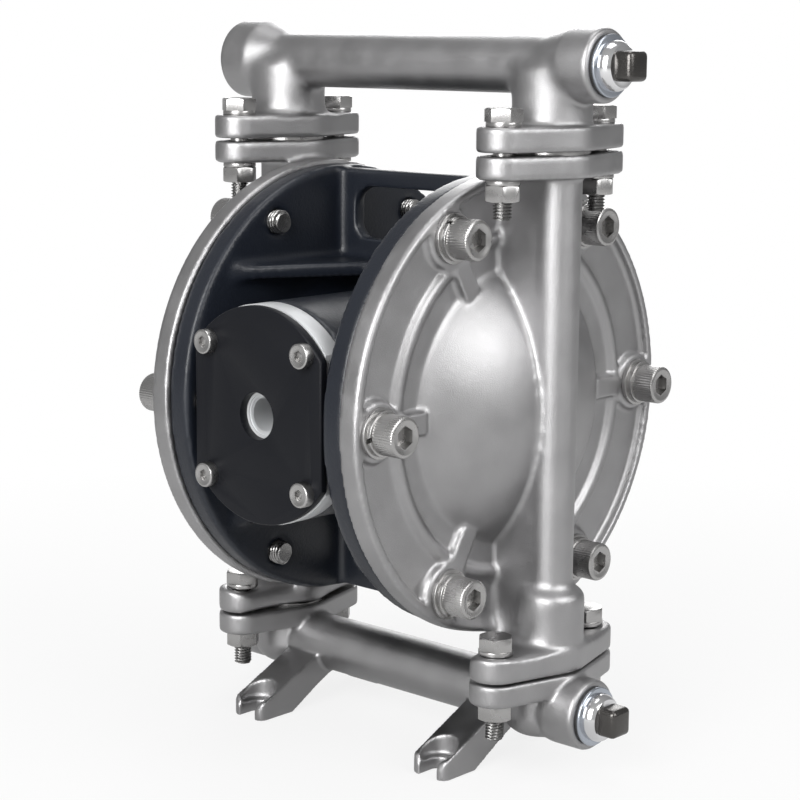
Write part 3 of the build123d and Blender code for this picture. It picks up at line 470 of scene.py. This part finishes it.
def rise_and_shrink(rise, share):
    """Extrudes the selected end by a rise along Z and scales it about Z."""
    bpy.ops.mesh.extrude_region_move(TRANSFORM_OT_translate={"value": (0.0, 0.0, rise)})
    bpy.ops.transform.resize(value=(share, share, 1.0), center_override=(0.0, 0.0, 0.0))


def cut_away(piece, cutter, operation="DIFFERENCE"):
    """Cuts one closed shape with another, which is then removed."""
    apply_modifier(piece, "BOOLEAN", operation=operation, object=cutter, solver="EXACT")
    bpy.data.objects.remove(cutter)


def thread_form(radius, depth, pitch, low, high, sides=24, rings=8):
    """A single-start thread: an off-centre round bar, twisted by one turn for each pitch."""
    length, off_centre = high - low, depth / 2
    bpy.ops.object.select_all(action="DESELECT")
    bpy.ops.mesh.primitive_cylinder_add(
        vertices=sides, radius=radius - off_centre, depth=length,
        location=(off_centre, 0.0, (low + high) / 2),
    )
    bpy.ops.object.transform_apply(location=True)
    bar = bpy.context.object
    select_edges(bar, lambda start, end: abs(start.z - end.z) > length / 2)
    bpy.ops.mesh.subdivide(number_cuts=round(length / pitch * rings))
    bpy.ops.object.mode_set(mode="OBJECT")
    twist = math.tau * length / pitch
    apply_modifier(bar, "SIMPLE_DEFORM", deform_method="TWIST", deform_axis="Z", angle=twist)
    return bar


def tapered_tip(bar, level, share):
    """Draws in the lowest end of a threaded bar."""
    select_faces(bar, lambda centre, normal: centre.z < level)
    bpy.ops.transform.resize(value=(share, share, 1.0), center_override=(0.0, 0.0, 0.0))
    bpy.ops.object.mode_set(mode="OBJECT")


def joined(parts, name):
    """Several shapes made one piece."""
    pick(*parts)
    bpy.ops.object.join()
    piece = bpy.context.object
    piece.name = piece.data.name = name
    return piece


thread_depth = 0.6


def screw_shank(radius, pitch, length, threaded):
    """A plain shank from inside the head down to its thread, and the thread with its tapered tip."""
    into_head, overlap = 0.0004, 0.0002
    runout = threaded - length
    plain = drum(32, radius, low=runout, high=into_head)
    thread = thread_form(radius, thread_depth * pitch, pitch, low=-length, high=runout + overlap)
    tapered_tip(thread, level=0.35 * pitch - length, share=0.86)
    return [plain, thread]


def cap_screw(head_radius, head_height, socket, radius, pitch, length, threaded, knurls):
    """A socket cap screw along Z, with its head standing on z = 0."""
    edge, groove, sink, drill_point = 0.13 * head_radius, 0.982, 0.5 * head_height, 0.16 * socket
    head = drum(2 * knurls, head_radius, 0.0, head_height - edge)
    step = math.pi / knurls
    pick(head)
    bpy.ops.object.mode_set(mode="EDIT")
    bpy.ops.mesh.select_mode(type="VERT")
    bpy.ops.mesh.select_all(action="DESELECT")
    bpy.ops.object.mode_set(mode="OBJECT")
    for point in head.data.vertices:
        point.select = round(math.atan2(point.co.y, point.co.x) / step) % 2 == 0
    bpy.ops.object.mode_set(mode="EDIT")
    bpy.ops.transform.resize(value=(groove, groove, 1.0), center_override=(0.0, 0.0, 0.0))
    bpy.ops.object.mode_set(mode="OBJECT")
    select_faces(head, lambda centre, normal: normal.z > 0.9)
    rise_and_shrink(0.6 * edge, 1.0 - 0.25 * edge / head_radius)
    rise_and_shrink(0.4 * edge, 1.0 - 0.8 * edge / head_radius)
    bpy.ops.mesh.inset(thickness=0.05 * head_radius)
    bpy.ops.mesh.inset(thickness=0.12 * head_radius, depth=-0.06 * head_radius)
    bpy.ops.object.mode_set(mode="OBJECT")

    # The socket: a countersunk mouth, six flats and the point that its drill left
    corner = socket / math.sqrt(3)
    countersink, mouth_depth = 1.25 * corner, 0.34 * corner
    cutter = drum(6, corner, head_height - sink, head_height + edge)
    select_faces(cutter, lambda centre, normal: normal.z < -0.9)
    bpy.ops.mesh.inset(thickness=0.12 * socket)
    bpy.ops.mesh.extrude_region_move(TRANSFORM_OT_translate={"value": (0.0, 0.0, -drill_point)})
    bpy.ops.transform.resize(value=(0.15, 0.15, 1.0), center_override=(0.0, 0.0, 0.0))
    bpy.ops.object.mode_set(mode="OBJECT")
    cut_away(head, cutter)
    bpy.ops.object.select_all(action="DESELECT")
    bpy.ops.mesh.primitive_cone_add(
        vertices=48, radius1=0.0, radius2=countersink, depth=countersink,
        location=(0.0, 0.0, head_height - mouth_depth),
    )
    bpy.ops.object.transform_apply(location=True)
    cut_away(head, bpy.context.object)
    return joined([head, *screw_shank(radius, pitch, length, threaded)], "cap_screw")


def set_out(pattern, name, places):
    """Copies of a pattern at its places, joined as one piece, with the pattern removed."""
    copies = []
    for place in places:
        copied = bpy.data.objects.new(name, pattern.data.copy())
        bpy.context.scene.collection.objects.link(copied)
        copied.matrix_world = place
        copies.append(copied)
    bpy.data.objects.remove(pattern)
    pick(*copies)
    bpy.ops.object.transform_apply(location=True, rotation=True, scale=True)
    return joined(copies, name)


def fasten(piece, node, material):
    """Shades a modelled fastener and stands it in for its node."""
    pick(piece)
    bpy.ops.object.shade_smooth_by_angle(angle=math.radians(32.0))
    dress(piece, material)
    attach(piece, "pump_body")
    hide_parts(node)


turned_steel = finish(
    "turned_steel", base=(0.4, 0.395, 0.39), wear_and_highlight=(0.85, 0.85, 0.84), painted_corner_shade=(0.3, 0.3, 0.3),
    metallic=1.0, rough=0.27, scales=(2600.0, 300.0), bump=(0.08, 0.0002), edge_amount=0.0,
)
bolt_circle, screw_seat = 0.0815, 0.0616
for side, node in ((0.0, "right_cover_screws"), (math.pi, "left_cover_screws")):
    screw = cap_screw(
        head_radius=0.008, head_height=0.01, socket=0.008, radius=0.005,
        pitch=0.0015, length=0.027, threaded=0.009, knurls=54,
    )
    stand = Matrix.Translation((screw_seat, 0.0, bolt_circle)) @ Matrix.Rotation(math.pi / 2, 4, "Y")
    centre = Matrix.Translation((0.0, 0.0, shaft_height)) @ Matrix.Rotation(side, 4, "Z")
    angles = [math.radians(30.0 + 60.0 * step) for step in range(6)]
    places = [centre @ Matrix.Rotation(angle, 4, "X") @ stand for angle in angles]
    fasten(set_out(screw, node.replace("screws", "cap_screws"), places), node, turned_steel)


# Flange bolts: eight M8 hexagon bolts with nuts clamp the manifolds to the covers. The
# heads are forged and turned off to a 30 degree corner, and the threads are rolled.
def hexagon_blank(across_flats, height, both_ends):
    """A hexagon standing on z = 0, with its corners turned off above and, for a nut, below."""
    corner, face_share, broken_edge = across_flats / math.sqrt(3), 0.84, 0.00016
    past_corner, deeper = 1.02, 1.1
    drop = (corner - across_flats / 2) * math.tan(math.radians(30.0)) * deeper
    blank = drum(6, corner, 0.0, height)
    turned = drum(96, corner * past_corner, drop if both_ends else 0.0, height - drop)
    select_faces(turned, lambda centre, normal: normal.z > 0.9)
    rise_and_shrink(drop, face_share)
    bpy.ops.object.mode_set(mode="OBJECT")
    if both_ends:
        select_faces(turned, lambda centre, normal: normal.z < -0.9)
        rise_and_shrink(-drop, face_share)
        bpy.ops.object.mode_set(mode="OBJECT")
    cut_away(blank, turned, "INTERSECT")
    apply_modifier(
        blank, "BEVEL", width=broken_edge, segments=2, limit_method="ANGLE", angle_limit=math.radians(24.0)
    )
    return blank


across_flats, head_height, nut_height, nut_bore = 0.013, 0.0053, 0.0065, 0.0041
bolt_radius, bolt_pitch, bolt_length, past_nut, bolt_threaded = 0.0038, 0.00125, 0.035, 0.0022, 0.018
lobe_offset, nut_turn = 0.0295, 8.0
flange_corners = [(x, y) for x in (-riser_offset, riser_offset) for y in (-lobe_offset, lobe_offset)]


def standing(level, turn):
    """The four bolt places at one level, each with its hexagon turned."""
    spin = Matrix.Rotation(math.radians(turn - 30.0), 4, "Z")
    return [Matrix.Translation((x, y, level)) @ spin for x, y in flange_corners]


for node, turn in (("outlet_flange_bolts", 30.0), ("inlet_flange_bolts", 8.0)):
    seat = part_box(node)[0].z + bolt_length
    head = hexagon_blank(across_flats, head_height, both_ends=False)
    shank = screw_shank(bolt_radius, bolt_pitch, bolt_length + past_nut, bolt_threaded)
    bolts = set_out(
        joined([head, *shank], "flange_bolt"), node.replace("bolts", "hexagon_bolts"), standing(seat, turn)
    )
    fasten(bolts, node, turned_steel)
for node in ("outlet_flange_nuts", "inlet_flange_nuts"):
    nut = hexagon_blank(across_flats, nut_height, both_ends=True)
    cut_away(nut, drum(48, nut_bore, low=-0.001, high=0.008))
    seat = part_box(node)[0].z
    nuts = set_out(nut, node.replace("nuts", "hexagon_nuts"), standing(seat, nut_turn))
    fasten(nuts, node, turned_steel)


# Centre body: an aluminium casting with a dark satin coat, lighter along its edges for wear and a painted
# bluish highlight, and darker in its inner corners with painted shade.
# It clamps the diaphragms and houses the air valve, the shaft and the pilot rod.
dark_coat = finish(
    "dark_coat", base=(0.007, 0.009, 0.014), wear_and_highlight=(0.11, 0.12, 0.14), painted_corner_shade=(0.003, 0.0035, 0.005),
    metallic=0.0, rough=0.34, scales=(900.0, 90.0), bump=(0.3, 0.0004), edge_amount=0.7, mirror=0.4,
)
softened_casting("centre_body", "centre_body_casting", dark_coat, cell=0.0015, passes=4)


# Valve cover: a round plate with two flats and a bevelled rim, in a dark plate finish of its own. The
# valve body behind it is pale cast aluminium, with the threaded air inlet in its middle.
def crisp_copy(node, name, width):
    """A copy of a machined node with its edges broken by a small bevel."""
    piece = own_copy(node, name)
    bpy.ops.object.mode_set(mode="EDIT")
    bpy.ops.mesh.select_all(action="SELECT")
    bpy.ops.mesh.dissolve_limited(angle_limit=math.radians(1.0))
    bpy.ops.object.mode_set(mode="OBJECT")
    apply_modifier(
        piece, "BEVEL", width=width, segments=2, limit_method="ANGLE",
        angle_limit=math.radians(40.0), harden_normals=False,
    )
    bpy.ops.object.shade_smooth_by_angle(angle=math.radians(35.0))
    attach(piece, "pump_body")
    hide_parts(node)
    return piece


dark_plate = finish(
    "dark_plate", base=(0.005, 0.0055, 0.0075), wear_and_highlight=(0.1, 0.11, 0.12), painted_corner_shade=(0.003, 0.003, 0.004),
    metallic=0.0, rough=0.45, scales=(1200.0, 60.0), bump=(0.12, 0.0003), edge_amount=0.0, mirror=0.15,
)
pale_aluminium = finish(
    "pale_aluminium", base=(0.58, 0.59, 0.6), wear_and_highlight=(0.85, 0.86, 0.86), painted_corner_shade=(0.4, 0.4, 0.4),
    metallic=0.6, rough=0.45, scales=(1400.0, 80.0), bump=(0.2, 0.0003), edge_amount=0.0,
)
dress(crisp_copy("valve_cover", "valve_cover_plate", width=0.0003), dark_plate)
dress(crisp_copy("valve_body", "valve_body_block", width=0.0003), pale_aluminium)


# Port plugs: square-headed steel plugs, nickel plated, screwed against a fibre seal into the
# spare end of each manifold. A collar seats them, and a short dome carries the square.
plated_steel = finish(
    "plated_steel", base=(0.7, 0.7, 0.71), wear_and_highlight=(0.8, 0.8, 0.8), painted_corner_shade=(0.3, 0.3, 0.3),
    metallic=1.0, rough=0.14, scales=(1800.0, 160.0), bump=(0.1, 0.0002), edge_amount=0.0, rough_drift=0.06,
)
collar_steel = finish(
    "collar_steel", base=(0.42, 0.45, 0.5), wear_and_highlight=(0.8, 0.8, 0.8), painted_corner_shade=(0.3, 0.3, 0.3),
    metallic=1.0, rough=0.24, scales=(2200.0, 200.0), bump=(0.1, 0.0002), edge_amount=0.0,
)
forged_square = finish(
    "forged_square", base=(0.1, 0.096, 0.092), wear_and_highlight=(0.5, 0.5, 0.5), painted_corner_shade=(0.05, 0.05, 0.05),
    metallic=1.0, rough=0.24, scales=(1500.0, 220.0), bump=(0.3, 0.0003), edge_amount=0.0,
)


def rounded_edges(shape, width, segments):
    """Rounds every square edge of a turned or forged shape."""
    apply_modifier(
        shape, "BEVEL", width=width, segments=segments, limit_method="ANGLE", angle_limit=math.radians(40.0)
    )


def square_plug():
    """A plug along Z with its collar's underside at z = 0."""
    collar = drum(96, radius=0.012, low=0.0, high=0.0014)
    rounded_edges(collar, width=0.0005, segments=3)
    dress(collar, collar_steel)
    dome = drum(96, radius=0.0098, low=0.0004, high=0.0028)
    dome_steps = ((0.0013, 0.975), (0.0012, 0.94), (0.001, 0.9), (0.0006, 0.82), (0.0002, 0.7))
    for rise, share in dome_steps:
        select_faces(dome, lambda centre, normal: normal.z > 0.9)
        rise_and_shrink(rise, share)
        bpy.ops.object.mode_set(mode="OBJECT")
    bpy.ops.object.select_all(action="DESELECT")
    bpy.ops.mesh.primitive_cube_add(size=0.0115, location=(0.0, 0.0, 0.00825))
    head = bpy.context.object
    bpy.ops.object.transform_apply(location=True)
    rounded_edges(head, width=0.0021, segments=4)
    dress(head, forged_square)
    dress(dome, plated_steel)
    thread = thread_form(radius=0.01045, depth=0.0009, pitch=0.0018, low=-0.012, high=0.0002, sides=48)
    dress(thread, plated_steel)
    return joined([dome, thread, head, collar], "square_plug")


plug_height = 0.014
for node in ("outlet_plug", "inlet_plug"):
    low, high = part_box(node)
    seat = Matrix.Translation((high.x - plug_height, 0.0, (low.z + high.z) / 2))
    stand = seat @ Matrix.Rotation(math.pi / 2, 4, "Y")
    plug = set_out(square_plug(), node.replace("plug", "square_plug"), [stand])
    pick(plug)
    bpy.ops.object.shade_smooth_by_angle(angle=math.radians(32.0))
    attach(plug, "pump_body")
    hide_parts(node)


# Port threads: parallel pipe threads cut in the air inlet, the exhaust, the outlet and the
# inlet. Each is a thin threaded wall that lines its bore.
air_pitch, liquid_pitch, lining_wall, mouth_gap = 0.00134, 0.0018, 0.0003, 0.0006
port_bores = (
    ("air_inlet_thread", pale_aluminium, (0.0, -0.0861, 0.1466), "front", 0.00833, air_pitch, 0.012),
    ("exhaust_thread", dark_coat, (0.0, 0.073, 0.1286), "back", 0.00833, air_pitch, 0.013),
    ("outlet_thread", cast_stainless, (-0.0998, 0.0, 0.2829), "left", 0.0132, liquid_pitch, 0.016),
    ("inlet_thread", cast_stainless, (-0.0998, 0.0, 0.0255), "left", 0.01048, liquid_pitch, 0.016),
)
facings = {
    "front": Matrix.Rotation(math.pi / 2, 4, "X"),
    "back": Matrix.Rotation(-math.pi / 2, 4, "X"),
    "left": Matrix.Rotation(-math.pi / 2, 4, "Y"),
}
for name, material, mouth, facing, radius, pitch, depth in port_bores:
    lining = drum(48, radius + lining_wall, low=-depth, high=-mouth_gap)
    tap = thread_form(radius, thread_depth * pitch, pitch, low=-depth - pitch, high=pitch, sides=48)
    cut_away(lining, tap)
    lining = set_out(lining, name, [Matrix.Translation(mouth) @ facings[facing]])
    pick(lining)
    bpy.ops.object.shade_smooth_by_angle(angle=math.radians(50.0))
    dress(lining, material)
    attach(lining, "pump_body")


# Washers: flat and split spring washers of stainless strip under every screw and bolt, with
# the small rounding that tumbling leaves on their edges.
for node in (
    "right_cover_flat_washers", "left_cover_flat_washers", "right_cover_spring_washers",
    "left_cover_spring_washers", "outlet_flange_head_washers", "outlet_flange_nut_washers",
    "inlet_flange_washers",
):
    dress(crisp_copy(node, node + "_tumbled", width=0.00025), turned_steel)


# Valve cover screws: four M6 socket screws with low heads hold the plate, both gaskets and
# the valve body on to the centre body.
low_screw = cap_screw(
    head_radius=0.005, head_height=0.004, socket=0.004, radius=0.003,
    pitch=0.001, length=0.025, threaded=0.006, knurls=40,
)
plate_front, screw_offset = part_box("valve_cover")[0].y, 0.027
corners = [(x, z) for x in (-screw_offset, screw_offset) for z in (-screw_offset, screw_offset)]
places = [Matrix.Translation((x, plate_front, shaft_height + z)) @ facings["front"] for x, z in corners]
fasten(set_out(low_screw, "valve_cover_cap_screws", places), "valve_cover_screws", turned_steel)


# Inner parts: the shaft, plates, spool, sleeve, seats, balls, seals and gaskets keep their own
# solids. Turned ones are stainless, the bushes bronze, the balls moulded and the seals rubber.
# Every node takes its finish here, the ones that a piece stands for as well.
black_rubber = finish(
    "black_rubber", base=(0.02, 0.02, 0.021), wear_and_highlight=(0.06, 0.06, 0.06), painted_corner_shade=(0.01, 0.01, 0.01),
    metallic=0.0, rough=0.62, scales=(2400.0, 200.0), bump=(0.15, 0.0002), edge_amount=0.0,
)
bronze = finish(
    "bronze", base=(0.42, 0.25, 0.11), wear_and_highlight=(0.6, 0.4, 0.2), painted_corner_shade=(0.2, 0.1, 0.05),
    metallic=1.0, rough=0.35, scales=(2200.0, 200.0), bump=(0.08, 0.0002), edge_amount=0.0,
)
moulded_plastic = finish(
    "moulded_plastic", base=(0.78, 0.76, 0.7), wear_and_highlight=(0.85, 0.84, 0.8), painted_corner_shade=(0.6, 0.58, 0.52),
    metallic=0.0, rough=0.3, scales=(1200.0, 100.0), bump=(0.05, 0.0002), edge_amount=0.0,
)
by_slot = {
    "black_body": dark_coat,
    "cast_steel": cast_stainless,
    "bright_steel": turned_steel,
    "fastener_steel": turned_steel,
    "plated_plug": plated_steel,
    "plain_aluminium": pale_aluminium,
    "bush_bronze": bronze,
    "diaphragm_rubber": black_rubber,
    "seal_rubber": black_rubber,
    "gasket_sheet": black_rubber,
    "ball_plastic": moulded_plastic,
}
for subpart in frame["record"]["subparts"]:
    dress(frame["nodes"][subpart["node"]], by_slot[subpart["material_slot"]])


# Diaphragms: two moulded rubber sheets with a rolled convolution. The covers hold their rims
# and the plates carry their middles, and each is cut into gores.
gores, rim_hold, plate_hold = 8, 0.0591, 0.0355
hub = Vector((0.0, 0.0, shaft_height))
for node in ("right_diaphragm", "left_diaphragm"):
    for step in range(gores):
        gore = own_copy(node, f"{node}_gore_{step + 1}")
        for side in (-0.5, 0.5):
            seam = Matrix.Rotation(math.tau * (step + side) / gores, 3, "X")
            bpy.ops.object.mode_set(mode="EDIT")
            bpy.ops.mesh.select_all(action="SELECT")
            bpy.ops.mesh.bisect(
                plane_co=hub, plane_no=seam @ Vector((0.0, 2.0 * side, 0.0)),
                use_fill=True, clear_inner=True, clear_outer=False,
            )
            bpy.ops.object.mode_set(mode="OBJECT")
        bpy.ops.object.shade_smooth_by_angle(angle=math.radians(35.0))
        dress(gore, black_rubber)
        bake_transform(gore)
        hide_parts(node)
